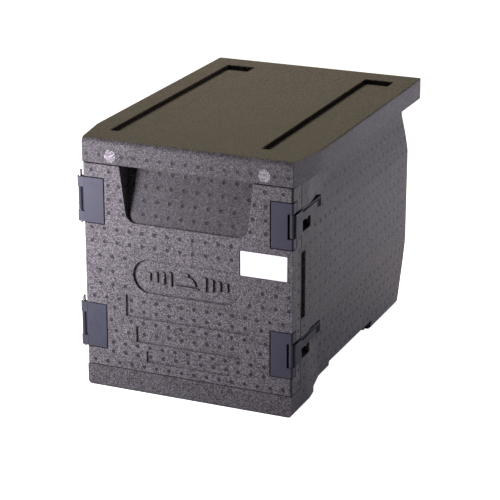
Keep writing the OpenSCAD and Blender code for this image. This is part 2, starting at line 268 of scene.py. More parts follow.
own_shade = plug(foam_group, "SeparateColor", {"Color": beads.outputs["Color"]}).outputs["Red"]
crumb_shade = plug(foam_group, "SeparateColor", {"Color": crumbs.outputs["Color"]}).outputs["Green"]
speck = maths(foam_group, "SUBTRACT", maths(foam_group, "ADD", own_shade, crumb_shade), 1.0)
speckled = maths(foam_group, "MULTIPLY", speck, foam_in.outputs["Speckle"])
drifted = maths(foam_group, "MULTIPLY", maths(foam_group, "SUBTRACT", drift.outputs["Fac"], 0.5),
                foam_in.outputs["Mottle"])
shade = maths(foam_group, "ADD", maths(foam_group, "ADD", speckled, drifted), 0.4)
bead_colour = blend_colour(foam_group, ramp(foam_group, shade, 0.0, 1.0),
                           foam_in.outputs["Dark"], foam_in.outputs["Light"])
joint_shade = ramp(foam_group, joints.outputs["Distance"], 0.0, 0.1, 0.7, 1.0)
# Painted shade: the Ambient Occlusion result darkens the colour in corners and creases.
corner_shade = ramp(foam_group, corner.outputs["AO"], 0.5, 0.96, foam_in.outputs["Corner shade"], 1.0)
grey = maths(foam_group, "MULTIPLY", joint_shade, corner_shade)
greys = plug(foam_group, "CombineColor", {0: grey, 1: grey, 2: grey}).outputs[0]
foam_colour = blend_colour(foam_group, 1.0, bead_colour, greys, "MULTIPLY")
crown = ramp(foam_group, joints.outputs["Distance"], 0.0, 0.3)
height = maths(foam_group, "ADD", crown, maths(foam_group, "MULTIPLY", crumb_shade, 0.4))
foam_group.links.new(foam_colour, foam_out.inputs["Color"])
foam_group.links.new(ramp(foam_group, own_shade, 0.0, 1.0, 0.62, 0.9), foam_out.inputs["Roughness"])
foam_group.links.new(height, foam_out.inputs["Height"])
print("bead foam group:", len(foam_group.nodes), "nodes")

# %% [markdown]
# ## The finish of moulded nylon, drawn steel and label film
#
# The hardware is glass-filled nylon from a finely etched mould, so it has a faint grain and a
# satin sheen, and its corners have been rubbed lighter. A drawn steel pin has fine lines along its
# length. One group holds the grain and rub, another the drawn lines.

# %% Node group: moulded nylon
nylon_group, nylon_in, nylon_out = node_group(
    "moulded nylon",
    [("Colour", "Color", (0.1, 0.1, 0.12, 1)), ("Rubbed", "Color", (0.3, 0.3, 0.32, 1)),
     ("Grain size", "Float", 0.0006), ("Rub", "Float", 0.5)],
    [("Color", "Color"), ("Roughness", "Float"), ("Height", "Float")])

place = plug(nylon_group, "TexCoord").outputs["Object"]
grain = plug(nylon_group, "TexNoise", {
    "Vector": place, "Scale": maths(nylon_group, "DIVIDE", 1.0, nylon_in.outputs["Grain size"]),
    "Detail": 3.0, "Roughness": 0.6})
cloud = plug(nylon_group, "TexNoise", {"Vector": place, "Scale": 60.0, "Detail": 4.0, "Roughness": 0.6})
edge = plug(nylon_group, "NewGeometry").outputs["Pointiness"]
rubbed = maths(nylon_group, "MULTIPLY", ramp(nylon_group, edge, 0.52, 0.62), nylon_in.outputs["Rub"])
patchy = ramp(nylon_group, cloud.outputs["Fac"], 0.35, 0.6, 0.3, 1.0)
rubbed = maths(nylon_group, "MULTIPLY", rubbed, patchy)
clouded = blend_colour(nylon_group, ramp(nylon_group, cloud.outputs["Fac"], 0.3, 0.7, 0.0, 0.12),
                       nylon_in.outputs["Colour"], nylon_in.outputs["Rubbed"])
nylon_colour = blend_colour(nylon_group, rubbed, clouded, nylon_in.outputs["Rubbed"])
nylon_group.links.new(nylon_colour, nylon_out.inputs["Color"])
sheen = ramp(nylon_group, cloud.outputs["Fac"], 0.3, 0.7, 0.56, 0.68)
nylon_group.links.new(sheen, nylon_out.inputs["Roughness"])
nylon_group.links.new(grain.outputs["Fac"], nylon_out.inputs["Height"])
print("moulded nylon group:", len(nylon_group.nodes), "nodes")

# %% Node group: drawn steel
steel_group, steel_in, steel_out = node_group(
    "drawn steel",
    [("Bright", "Color", (0.7, 0.7, 0.72, 1)), ("Dull", "Color", (0.35, 0.35, 0.37, 1)),
     ("Line width", "Float", 0.0004)],
    [("Color", "Color"), ("Roughness", "Float"), ("Height", "Float")])

stretched = plug(steel_group, "Mapping", {
    "Vector": plug(steel_group, "TexCoord").outputs["Object"], "Scale": (1, 1, 0.03)}).outputs["Vector"]
lines = plug(steel_group, "TexNoise", {
    "Vector": stretched, "Scale": maths(steel_group, "DIVIDE", 1.0, steel_in.outputs["Line width"]),
    "Detail": 2.0})
streaks = ramp(steel_group, lines.outputs["Fac"], 0.3, 0.7)
steel_colour = blend_colour(steel_group, streaks, steel_in.outputs["Dull"], steel_in.outputs["Bright"])
steel_group.links.new(steel_colour, steel_out.inputs["Color"])
gloss = ramp(steel_group, lines.outputs["Fac"], 0.3, 0.7, 0.2, 0.42)
steel_group.links.new(gloss, steel_out.inputs["Roughness"])
steel_group.links.new(lines.outputs["Fac"], steel_out.inputs["Height"])
print("drawn steel group:", len(steel_group.nodes), "nodes")

# %% [markdown]
# A material holds one Principled shader. The group feeds its colour and roughness, and the height
# goes through a Bump node. Values that are the same all over are typed into the shader itself.
# Hinge plates are bluer than latch plates, and levers and trays are the darkest nylon.

# %% Make the materials
def finish(name, group, inputs, bump_mm, **shader_values):
    """A material whose Principled shader is fed by one of the groups."""
    material = bpy.data.materials.new(name)
    material.use_nodes = True
    tree = material.node_tree
    shader = tree.nodes["Principled BSDF"]
    made = tree.nodes.new("ShaderNodeGroup")
    made.node_tree = group
    for key, value in inputs.items():
        made.inputs[key].default_value = value
    relief = {"Height": made.outputs["Height"], "Distance": bump_mm * MM, "Strength": 1.0}
    bump = plug(tree, "Bump", relief)
    tree.links.new(made.outputs["Color"], shader.inputs["Base Color"])
    tree.links.new(made.outputs["Roughness"], shader.inputs["Roughness"])
    tree.links.new(bump.outputs["Normal"], shader.inputs["Normal"])
    for key, value in shader_values.items():
        shader.inputs[key.replace("_", " ")].default_value = value
    return material


FOAM_BUMP = 0.12
LIGHTEST = 2.1
DARKEST = 0.16


def foam(name, tint, mean, **inputs):
    """Foam whose beads run from nearly black to twice a mean grey, with a tint."""
    values = {"Light": (*(LIGHTEST * mean * c for c in tint), 1),
              "Dark": (*(DARKEST * mean * c for c in tint), 1)}
    values.update({key.replace("_", " "): value for key, value in inputs.items()})
    return finish(name, foam_group, values, FOAM_BUMP, IOR=1.4)


def nylon(name, colour, rubbed, rub, **shader_values):
    """Moulded nylon in a colour, rubbed lighter at its corners."""
    values = {"Colour": (*colour, 1), "Rubbed": (*rubbed, 1), "Rub": rub}
    return finish(name, nylon_group, values, 0.03, **shader_values)


FOAM_TINT = (1.03, 0.96, 1.03)
foam_door = foam("foam_door", FOAM_TINT, 0.097, Speckle=0.82)
foam_body = foam("foam_body", FOAM_TINT, 0.071, Speckle=1.0)
vent_foam = foam("vent_foam", (0.97, 0.95, 1.1), 0.025, Corner_shade=0.5)
side_vent_foam = foam("side_vent_foam", FOAM_TINT, 0.033, Corner_shade=0.5)
gate_foam = foam("gate_foam", FOAM_TINT, 0.22, Corner_shade=0.8)
# The darker foam for the back of the door's pocket, and for its vent marks, is painted shade.
pocket_painted_shade_foam = foam("pocket_painted_shade_foam", FOAM_TINT, 0.052, Speckle=0.9)
pocket_vent_painted_shade_foam = foam("pocket_vent_painted_shade_foam", FOAM_TINT, 0.019, Corner_shade=0.5)
blue_nylon = nylon("blue_nylon", (0.02, 0.023, 0.038), (0.06, 0.065, 0.085), 0.5, Specular_IOR_Level=0.35)
dark_nylon = nylon("dark_nylon", (0.031, 0.03, 0.044), (0.07, 0.07, 0.085), 0.4, Specular_IOR_Level=0.12)
slate_nylon = nylon("slate_nylon", (0.044, 0.043, 0.062), (0.08, 0.08, 0.1), 0.4, Specular_IOR_Level=0.12)
pin_steel = finish("pin_steel", steel_group, {}, 0.01, Metallic=1.0)
label_film = finish("label_film", nylon_group, {
    "Colour": (0.93, 0.93, 0.94, 1), "Rubbed": (0.86, 0.86, 0.88, 1), "Rub": 0.2}, 0.01, Coat_Weight=0.3)
print("materials:", sorted(m.name for m in bpy.data.materials))

# %% [markdown]
# ## Softening edges
#
# Nothing that comes out of a mould has a knife edge. A bevel of one width would fold over itself
# wherever a wall is thin, so each sharp edge gets its own width: the width asked for, or less where
# the flat beside it is narrow. The outer corners at the front and the rim of the top are rounder
# than the rest. The Bevel modifier reads each width from an edge attribute, so one pass rounds
# them all.

# %% Copy the flat faces of a node
WELD = 0.02 * MM
FLAT = math.radians(0.6)
SHARP = math.radians(50)
CREASE = math.radians(5)
BROAD = 1500 * MM * MM
LEAST_ROOM = 1.0 * MM
SAMPLES = np.linspace(0, 1, 7)


def whole_faces(node):
    """The node's mesh with its triangles joined back into flat faces."""
    form = bmesh.new()
    form.from_mesh(frame["nodes"][node].data)
    bmesh.ops.remove_doubles(form, verts=form.verts, dist=WELD)
    bmesh.ops.dissolve_limit(form, angle_limit=FLAT, verts=form.verts, edges=form.edges)
    return form


def flats(form):
    """Groups of faces that lie in one plane and touch."""
    groups, seen = [], set()
    for first in form.faces:
        if first in seen:
            continue
        group, waiting = [], [first]
        seen.add(first)
        while waiting:
            face = waiting.pop()
            group.append(face)
            for edge in face.edges:
                for other in edge.link_faces:
                    if other not in seen and edge.calc_face_angle(0) < FLAT:
                        seen.add(other)
                        waiting.append(other)
        groups.append(group)
    return groups


panel = whole_faces("door_panel")
print("faces on the door:", len(panel.faces), "flats:", len(flats(panel)))

# %% [markdown]
# The room beside an edge is how far it is, across a flat, to the next edge. Seven points along the
# edge are enough to feel it. Where two edges meet at a corner, the distance is nothing, so the
# angle between them says how wide a round still fits.

# %% Measure the room beside edges
def room_in_corner(edge, other, corner):
    """How wide two edges that meet at a corner can be rounded before they cross."""
    ways = [e.other_vert(corner).co - corner.co for e in (edge, other)]
    return 2 * min(w.length for w in ways) * math.tan(ways[0].angle(ways[1]) / 2)


def room_beside_edges(form):
    """For each edge that bounds a flat, how far it is to the next edge across that flat."""
    room = {}
    for group in flats(form):
        rim = list({e for face in group for e in face.edges if e.calc_face_angle(0) >= FLAT})
        if not rim:
            continue
        start = np.array([e.verts[0].co for e in rim])
        way = np.array([e.verts[1].co for e in rim]) - start
        for i, edge in enumerate(rim):
            points = start[i] + SAMPLES[:, None] * way[i]
            offset = points[:, None, :] - start[None]
            share = np.clip((offset * way).sum(2) / (way * way).sum(1), 0, 1)
            gap = np.linalg.norm(offset - share[..., None] * way, axis=2).min(0)
            for j, other in enumerate(rim):
                shared = set(other.verts) & set(edge.verts)
                if shared:
                    gap[j] = 1.0
                    if other is not edge:
                        gap[j] = room_in_corner(edge, other, shared.pop())
            room[edge] = min(room.get(edge, 1.0), float(gap.min()))
    return room


rooms = room_beside_edges(panel).values()
print("room beside the door's edges, mm:", round(min(rooms) / MM, 2), "to", round(max(rooms) / MM, 1))
panel.free()

# %% [markdown]
# Two helpers turn a bmesh into an object and bake its modifiers, so that each later step starts
# from a plain mesh.

# %% Objects from forms
def mesh_object(name, form):
    """An object made from a bmesh, linked to the scene."""
    mesh = bpy.data.meshes.new(name)
    form.to_mesh(mesh)
    form.free()
    piece = bpy.data.objects.new(name, mesh)
    bpy.context.scene.collection.objects.link(piece)
    return piece


def apply_modifiers(piece):
    """Bakes the modifiers of a piece into its mesh."""
    graph = bpy.context.evaluated_depsgraph_get()
    mesh = bpy.data.meshes.new_from_object(piece.evaluated_get(graph))
    piece.modifiers.clear()
    piece.data = mesh
    return piece


# %% [markdown]
# Now the rounding itself. A test finds the edges that are rounder than the others, and the weights
# hold each edge's own width as a share of the widest.

# %% Round the edges of a copy
TOP_SIDE_X = 190 * MM
TOP_FRONT_Y = frame_lo.y + 18 * MM
TOP_BACK_Y = frame_hi.y - 8 * MM
TOP_Z = frame_hi.z - 0.5 * MM
CORNER_X = 203 * MM
FRONT_Y = frame_lo.y + 1 * MM


def on_top_rim(edge):
    """Whether an edge lies on the outline of the top, away from the channels."""
    ends = [vert.co for vert in edge.verts]
    outside = [all(abs(p.x) > TOP_SIDE_X for p in ends), all(p.y < TOP_FRONT_Y for p in ends),
               all(p.y > TOP_BACK_Y for p in ends)]
    return all(p.z > TOP_Z for p in ends) and any(outside)


def on_front_corner(edge):
    """Whether an edge is one of the upright outer corners at the front."""
    a, b = (vert.co for vert in edge.verts)
    return max(a.y, b.y) < FRONT_Y and abs(a.x - b.x) < WELD and abs(a.x) > CORNER_X


def softened(name, node, width, corner, segments=3, share=0.42):
    """A copy of a node, its sharp edges rounded by width, or by corner on the rim and front corners."""
    form = whole_faces(node)
    weight = form.edges.layers.float.new("bevel_weight_edge")
    for edge, room in room_beside_edges(form).items():
        if edge.calc_face_angle(0) > SHARP and room > LEAST_ROOM:
            wish = corner if on_front_corner(edge) or on_top_rim(edge) else width
            edge[weight] = min(wish, share * room) / max(corner, width)
    piece = mesh_object(name, form)
    bevel = piece.modifiers.new("round", "BEVEL")
    bevel.limit_method = "WEIGHT"
    bevel.width = max(corner, width)
    bevel.segments = segments
    bevel.use_clamp_overlap = False
    return apply_modifiers(piece)


print("rounder edges beyond, mm:", [round(v / MM) for v in (TOP_SIDE_X, TOP_FRONT_Y, TOP_BACK_Y, CORNER_X)])

# %% [markdown]
# Smooth shading bends the light across every edge, which suits a round but makes a flat look
# swollen. Weighted normals keep the flats flat, and the edges between two broad flats stay crisp.
# A finished piece then rides on its body and stands for its node.

# %% Shade a piece and settle it
def smooth_shading(piece):
    """Smooth shading, but crisp at sharp edges and at creases between two broad flats."""
    form = bmesh.new()
    form.from_mesh(piece.data)
    area = {face: face.calc_area() for face in form.faces}
    for face in form.faces:
        face.smooth = True
    for edge in form.edges:
        turn = edge.calc_face_angle(0)
        broad = min((area[face] for face in edge.link_faces), default=0) > BROAD
        edge.smooth = turn < (CREASE if broad else SHARP)
    form.to_mesh(piece.data)
    form.free()
    normals = piece.modifiers.new("normals", "WEIGHTED_NORMAL")
    normals.keep_sharp = True
    normals.weight = 100
    return apply_modifiers(piece)


def settle(piece, node):
    """Puts a finished piece on its node's body, in place of the node."""
    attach(piece, BODY_OF[node])
    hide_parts(node)
    print(f"{piece.name}: {len(piece.data.polygons)} faces, rides on {BODY_OF[node]}")
    return piece


BODIES = frame["record"]["behaviour"]["bodies"]
BODY_OF = {node: body for body, members in BODIES.items() for node in members}
print("nodes to stand for:", len(BODY_OF))

# %% [markdown]
# ## Vent marks
#
# Steam enters a bead mould through small slotted plugs, set in rows 25 mm apart. Each plug leaves
# a shallow round mark in the foam. They could be painted on, but a cut mark catches the light and
# stays in the mesh. A cutter is a short cone with a darker foam on it, and one Boolean takes all
# the cutters out of a piece.

# %% Draw the cutter of a vent mark
VENT_PITCH = 25 * MM
VENT_TOP = 3.8 * MM
VENT_FLOOR = 2.9 * MM
VENT_EDGE = 0.6 * MM
STAND_OFF = 20 * MM
UNEVEN = 0.15 * MM
VENT_MATERIAL = 1
GATE_MATERIAL = 2
SIDE_VENT_MATERIAL = 3


def cone_cutter(form, point, normal, top, floor, depth, material, sides=14):
    """Adds a closed cone frustum that sinks into the surface at point."""
    turn = normal.to_track_quat("Z", "Y").to_matrix()
    rings = []
    for z, radius in ((0.6 * depth, top), (0.0, top), (-depth, floor)):
        circle = [(radius * math.cos(a), radius * math.sin(a), z)
                  for a in (2 * math.pi * i / sides for i in range(sides))]
        rings.append([form.verts.new(point + turn @ Vector(place)) for place in circle])
    faces = [form.faces.new(rings[0]), form.faces.new(list(reversed(rings[-1])))]
    for upper, lower in zip(rings, rings[1:]):
        for i in range(sides):
            j = (i + 1) % sides
            faces.append(form.faces.new((upper[i], lower[i], lower[j], upper[j])))
    for face in faces:
        face.material_index = material


print("vent pitch, mm:", VENT_PITCH / MM, "mark across, mm:", 2 * VENT_TOP / MM)

# %% [markdown]
# A ray looks for the surface, and a ring of rays makes sure that the mark fits on flat foam. So
# the rows can run on across pockets and corners, and only the marks that fit are made.

# %% Find flat foam for the marks
def flat_spot(tree, point, way, clear):
    """Where a ray meets flat foam with clear room all round, or None."""
    hit, normal, _, _ = tree.ray_cast(point, way)
    if hit is None or normal.dot(way) > -0.5:
        return None
    side = normal.orthogonal().normalized()
    for step in range(8):
        around = Matrix.Rotation(step * math.pi / 4, 3, normal) @ side
        rim, _, _, _ = tree.ray_cast(hit + around * clear - way * STAND_OFF, way)
        if rim is None or abs((rim - hit).dot(normal)) > UNEVEN:
            return None
    return hit, normal


def vent_marks(form, tree, points, way, depth=0.9 * MM, material=VENT_MATERIAL):
    """Adds a cutter wherever a ray from one of the points finds room, and counts them."""
    spots = [flat_spot(tree, point, way, VENT_TOP + VENT_EDGE) for point in points]
    for spot in filter(None, spots):
        cone_cutter(form, *spot, VENT_TOP, VENT_FLOOR, depth, material)
    return len(spots) - spots.count(None)


# %% [markdown]
# The cutters leave their own material on the faces that they make. Before the cut the broad flats
# are divided into tiles, because a face with hundreds of holes in it is hard to fill.

# %% Cut the marks out
def cut_out(piece, form, materials):
    """Takes the cutters in form out of a piece; their faces keep their own material."""
    cutter = mesh_object("cutter", form)
    piece.data.materials.clear()
    for mesh in (piece.data, cutter.data):
        for material in materials:
            mesh.materials.append(material)
    boolean = piece.modifiers.new("cut", "BOOLEAN")
    boolean.object = cutter
    boolean.operation = "DIFFERENCE"
    boolean.solver = "MANIFOLD"
    apply_modifiers(piece)
    bpy.data.objects.remove(cutter)
    return piece


def tiled(piece, step=98 * MM):
    """Divides the flats of a piece into tiles of one step each way."""
    form = bmesh.new()
    form.from_mesh(piece.data)
    first = 0.73 * step
    for axis in range(3):
        way = Vector([float(i == axis) for i in range(3)])
        count = int((frame_hi[axis] - frame_lo[axis]) / step)
        for i in range(count):
            at = frame_lo[axis] + first + i * step
            everything = form.verts[:] + form.edges[:] + form.faces[:]
            bmesh.ops.bisect_plane(form, geom=everything, dist=WELD / 10, plane_co=way * at, plane_no=way)
    form.to_mesh(piece.data)
    form.free()
    return piece


def surface_of(piece):
    """A search tree of a piece's faces, for rays."""
    return BVHTree.FromObject(piece, bpy.context.evaluated_depsgraph_get())


# %% [markdown]
# ## Building from prisms
#
# Every hinge and latch piece is an outline seen from above, carried through some height. Drawing
# them again, instead of copying the frame's solids, gives each corner the radius that a nylon
# moulding has there. The outline comes first: a corner with a radius becomes an arc.

# %% Outlines with rounded corners
def outline(points, steps=4):
    """Corners (x, y) or (x, y, radius) in mm; a radius rounds its corner with an arc."""
    made = []
    for i, point in enumerate(points):
        corner = Vector(point[:2])
        if len(point) == 2:
            made.append(corner)
            continue
        before = (Vector(points[i - 1][:2]) - corner).normalized()
        after = (Vector(points[(i + 1) % len(points)][:2]) - corner).normalized()
        half = before.angle(after) / 2
        centre = corner + (before + after).normalized() * point[2] / math.sin(half)
        start = corner + before * point[2] / math.tan(half) - centre
        end = corner + after * point[2] / math.tan(half) - centre
        turn = math.atan2(start.x * end.y - start.y * end.x, start.dot(end))
        for step in range(steps + 1):
            angle = turn * step / steps
            made.append(centre + Vector((start.x * math.cos(angle) - start.y * math.sin(angle),
                                         start.x * math.sin(angle) + start.y * math.cos(angle))))
    return made


def box_outline(x0, x1, y0, y1, radius=0.0):
    """A rectangle in mm, its corners rounded if there is a radius."""
    corner = (radius,) if radius else ()
    return outline([(x, y, *corner) for x, y in ((x0, y0), (x1, y0), (x1, y1), (x0, y1))])


def ring_outline(x, y, radius, sides=32):
    """A circle in mm."""
    return [Vector((x + radius * math.cos(2 * math.pi * i / sides),
                    y + radius * math.sin(2 * math.pi * i / sides))) for i in range(sides)]


print("points on a rounded square:", len(box_outline(0, 10, 0, 10, 2)))

# %% [markdown]
# A prism carries an outline through a height and rounds its two ends. It can also be stood up to
# face the front, for the card and for the relief on the door.

# %% Prisms
def prism(points, z0, z1, soft=0.5):
    """A solid with this outline, from height z0 to z1 in mm, its end edges rounded by soft."""
    form = bmesh.new()
    low, high = ([form.verts.new((p.x * MM, p.y * MM, z * MM)) for p in points] for z in (z0, z1))
    form.faces.new(low)
    form.faces.new(high)
    for i in range(len(points)):
        j = (i + 1) % len(points)
        form.faces.new((low[i], low[j], high[j], high[i]))
    bmesh.ops.recalc_face_normals(form, faces=form.faces)
    if soft:
        ends = [e for e in form.edges if abs(e.verts[0].co.z - e.verts[1].co.z) < WELD]
        bmesh.ops.bevel(form, geom=ends, offset=soft * MM, offset_type="OFFSET", segments=2,
                        profile=0.5, affect="EDGES", clamp_overlap=True)
    return form


def stood_up(points, y0, y1, soft=0.5):
    """A prism whose outline is drawn in x and z, and which runs from y0 to y1 in mm."""
    form = prism(points, -y1, -y0, soft)
    form.transform(Matrix.Rotation(math.pi / 2, 4, "X"))
    return form


# %% [markdown]
# Prisms are united into one piece and drilled by Booleans, as the mould's steel would be cut. The
# piece is drawn for the right side, so the left side is its mirror image.

# %% Join, drill and mount
def joined(name, solids, holes=()):
    """One piece: the solids united, less the holes."""
    piece = solids[0] if isinstance(solids[0], bpy.types.Object) else mesh_object(name, solids[0])
    for operation, forms in (("UNION", solids[1:]), ("DIFFERENCE", holes)):
        for form in forms:
            tool = mesh_object("tool", form)
            boolean = piece.modifiers.new("join", "BOOLEAN")
            boolean.object = tool
            boolean.operation = operation
            boolean.solver = "MANIFOLD"
            apply_modifiers(piece)
            bpy.data.objects.remove(tool)
    return piece


def mounted(piece, node, material, side=1, zc=0.0):
    """Mirrors a piece to its side, lifts it to height zc in mm, paints it and settles it."""
    piece.data.transform(Matrix.Translation((0, 0, zc * MM)) @ Matrix.Diagonal((side, 1, 1, 1)))
    if side < 0:
        piece.data.flip_normals()
    piece.data.materials.clear()
    piece.data.materials.append(material)
    smooth_shading(piece)
    return settle(piece, node)


# %% [markdown]
# ## The door
#
# The door is one slab of foam with a sloping hand pocket at the top, an oval badge recess and
# three stepped bars. The vent marks follow the mould's own rows, mirrored about the middle. Each
# row is a height and the places of its first and last mark, all in mm.

# %% Places of the marks on the door
FRONT_ROWS = [
    (417, 151, 186), (391, 131.5, 153), (365, 128, 153), (340, 123.5, 153),
    (416, 12.5, 112.5), (392, 12.5, 112.5), (367, 12.5, 87.5), (343, 12.5, 87.5),
    (309, 12.5, 187.5), (284, 12.5, 187.5),
    (257, 122.5, 197.5), (228.7, 147.5, 197.5), (203, 122.5, 197.5),
    (177, 12.5, 112.5), (177, 136, 186), (157, 12.5, 112.5), (159, 145, 170),
    (136.5, 12.5, 112.5), (134, 153, 153), (114, 12.5, 87.5), (114, 118, 143),
    (90, 0, 150), (72, 0, 150), (51, 12.5, 187.5),
]
FRONT = Vector((0, 1, 0))
door_lo, door_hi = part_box("door_panel")


def row_places(first, last):
    """Mirrored places along a row from first to last, about one vent pitch apart."""
    steps = max(1, round((last - first) * MM / VENT_PITCH))
    reach = [first + i * (last - first) / steps for i in range(steps + 1)]
    return sorted({sign * x * MM for x in reach for sign in (-1, 1)})


def column_places(lo, hi):
    """Heights on the mould's grid between lo and hi."""
    first = 57 * MM
    return [first + i * VENT_PITCH for i in range(-2, 20) if lo < first + i * VENT_PITCH < hi]


print("rows on the door:", len(FRONT_ROWS), "upright:", len(column_places(door_lo.z, door_hi.z)))

# %% [markdown]
# The badge shows a plain covered dish between upright bars, standing a little below the face. Flat
# outlines stood up as prisms are enough, since moulded foam can't hold finer forms.

# %% Outlines of the badge relief
RELIEF_Y = door_lo.y / MM + 1.2
RELIEF_FLOOR = door_lo.y / MM + 4.5
RELIEF_Z = 228.7


def covered_dish(z):
    """Outlines, in x and z, of a dome with a knob on a tray."""
    dome = [Vector((17 * math.cos(a), z - 7 + 17 * math.sin(a))) for a in np.linspace(0, math.pi, 19)]
    return [dome, ring_outline(0, z + 12.5, 3, 16), box_outline(-22, 22, z - 13.5, z - 9.5, 1.9)]


relief = covered_dish(RELIEF_Z)
for side in (-1, 1):
    for x, half in ((34, 14), (48, 12), (62, 10), (76, 8)):
        relief.append(box_outline(side * x - 3.6, side * x + 3.6, RELIEF_Z - half, RELIEF_Z + half, 2.5))
print("outlines in the relief:", len(relief))

# %% [markdown]
# The door is rounded, the relief is added and the marks are cut. The back of the pocket gets a
# darker foam of its own, as painted shade under the top slab.

# %% Make the door panel
POCKET_X, POCKET_Y, POCKET_Z = 113 * MM, door_lo.y + 2.5 * MM, 325 * MM
SIDE_VENT_Y = door_lo.y + 29 * MM

door = softened("door", "door_panel", 2 * MM, 5 * MM)
door = joined("door", [door] + [stood_up(points, RELIEF_Y, RELIEF_FLOOR, 0.7) for points in relief])
surface = surface_of(tiled(door))
vents = bmesh.new()
made = 0
for z, first, last in FRONT_ROWS:
    points = [Vector((x, door_lo.y - 0.05, z * MM)) for x in row_places(first, last)]
    made += vent_marks(vents, surface, points, FRONT)
for side in (-1, 1):
    points = [Vector((side * 0.3, SIDE_VENT_Y, z)) for z in column_places(door_lo.z, door_hi.z)]
    made += vent_marks(vents, surface, points, Vector((-side, 0, 0)), 0.8 * MM, SIDE_VENT_MATERIAL)
cut_out(door, vents, [foam_door, vent_foam, gate_foam, side_vent_foam, pocket_painted_shade_foam, pocket_vent_painted_shade_foam])
# Faces at the back of the pocket take the darker foam as painted shade.
for face in door.data.polygons:
    x, y, z = face.center
    inside = y > POCKET_Y and z > POCKET_Z and abs(x) < POCKET_X
    if inside and face.normal.y < -0.5:
        face.material_index = 4 if face.material_index == 0 else 5
smooth_shading(door)
settle(door, "door_panel")
print("vent marks on the door:", made)

# %% [markdown]
# ## The body
#
# The body is the rest of the foam: top slab, side walls, sill, cavity and pan rails. Its sides and
# back carry the same vent marks on a square grid. Two wide round marks on the front of the slab
# are where the beads were blown in; the foam in them is finer and lighter.

# %% Make the body shell
GATE_X = 149 * MM
GATE_Z = 446 * MM
GATE_R = 11.8 * MM
wall_lo, wall_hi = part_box("body_shell")
body = softened("body", "body_shell", 2.4 * MM, 6 * MM)
surface = surface_of(tiled(body))
vents = bmesh.new()
made = 0
for first, last in ((0, 125), (170, 195)):
    points = [Vector((x, wall_lo.y - 0.05, GATE_Z + 1 * MM)) for x in row_places(first, last)]
    made += vent_marks(vents, surface, points, FRONT)
heights = column_places(10 * MM, 420 * MM)
for side in (-1, 1):
    depths = [wall_lo.y + 57 * MM + i * VENT_PITCH for i in range(23)]
    points = [Vector((side * 0.3, y, z)) for y in depths for z in heights]
    made += vent_marks(vents, surface, points, Vector((-side, 0, 0)), 0.8 * MM, SIDE_VENT_MATERIAL)
points = [Vector((x, wall_hi.y + 0.1, z)) for x in row_places(12.5, 187.5) for z in heights]
made += vent_marks(vents, surface, points, -FRONT, 0.8 * MM, SIDE_VENT_MATERIAL)
for side in (-1, 1):
    cone_cutter(vents, Vector((side * GATE_X, wall_lo.y, GATE_Z)), -FRONT,
                GATE_R, GATE_R - 0.4 * MM, 0.5 * MM, GATE_MATERIAL, sides=40)
cut_out(body, vents, [foam_body, vent_foam, gate_foam, side_vent_foam])
smooth_shading(body)
settle(body, "body_shell")
print("vent marks on the body:", made)

# %% [markdown]
# ## Corner plates and levers
#
# A nylon plate wraps each corner of the door. On the left the plates carry knuckles for the hinge
# pins; on the right they carry the latch pins, and between the knuckles a lever turns. Sizes are
# drawn for the right side with z counted from the middle of the plate, and mirrored for the left.

# %% Sizes shared by the hinges and latches
joint_at = {joint["name"]: [v / MM for v in joint["pos_m"]] for joint in frame["joints"]}
HALF_W = 204.0
FACE_Y = frame_lo.y / MM
UPPER_Z, LOWER_Z = joint_at["upper_latch"][2], joint_at["lower_latch"][2]
HINGE_X, HINGE_Y = -joint_at["door_swing"][0], joint_at["door_swing"][1]
LATCH_X, LATCH_Y = joint_at["upper_latch"][:2]
PLATE_W, PLATE_T, FLANGE = 41.3, 3.0, 17.6
PLATE_E = 42.4
KNUCKLE = 23.0
BAR_X, BAR_Y = HALF_W - 7.4, FACE_Y + 80.0
ARM_Z0, ARM_Z1 = 2.0, 16.5
FRAME_Y = FACE_Y + 40.0
ARM_END = FRAME_Y + 93.0
PLAY = 0.05
LEVELS = (("upper", UPPER_Z), ("lower", LOWER_Z))
print("levels, mm:", LEVELS, "hinge axis", (HINGE_X, HINGE_Y), "latch axis", (LATCH_X, LATCH_Y))


def corner_plate():
    """The L of a plate, seen from above."""
    x1, y0 = HALF_W, FACE_Y
    return outline([(x1 - PLATE_W, y0, 0.8), (x1, y0, 3.8), (x1, y0 + FLANGE, 0.8),
                    (x1 - PLATE_T, y0 + FLANGE, 0.8), (x1 - PLATE_T, y0 + PLATE_T, 1.0),
                    (x1 - PLATE_W, y0 + PLATE_T, 0.8)])


# %% Hinge plates and arms
def hinge_plate():
    """A corner plate with a knuckle above and below the arm."""
    solids = [prism(corner_plate(), -PLATE_E, PLATE_E, 0.6)]
    for z0, z1 in ((-PLATE_E, -KNUCKLE), (KNUCKLE, PLATE_E)):
        web = outline([(HALF_W - 2, FACE_Y), (HINGE_X, FACE_Y + 0.2), (HINGE_X, FACE_Y + 9, 1),
                       (HALF_W - 2, FACE_Y + 9)])
        solids.append(prism(ring_outline(HINGE_X, HINGE_Y, 5.8), z0, z1, 0.6))
        solids.append(prism(web, z0, z1, 0.6))
    holes = [prism(ring_outline(HINGE_X, HINGE_Y, 3 + PLAY), -60, 60, 0),
             prism(box_outline(HALF_W, HINGE_X + 10, FACE_Y - 1, FACE_Y + 20), -KNUCKLE, KNUCKLE, 0),
             prism(box_outline(HALF_W - PLATE_T - 1, HINGE_X + 10, FACE_Y + PLATE_T, FACE_Y + 20),
                   -KNUCKLE, KNUCKLE, 0)]
    return solids, holes


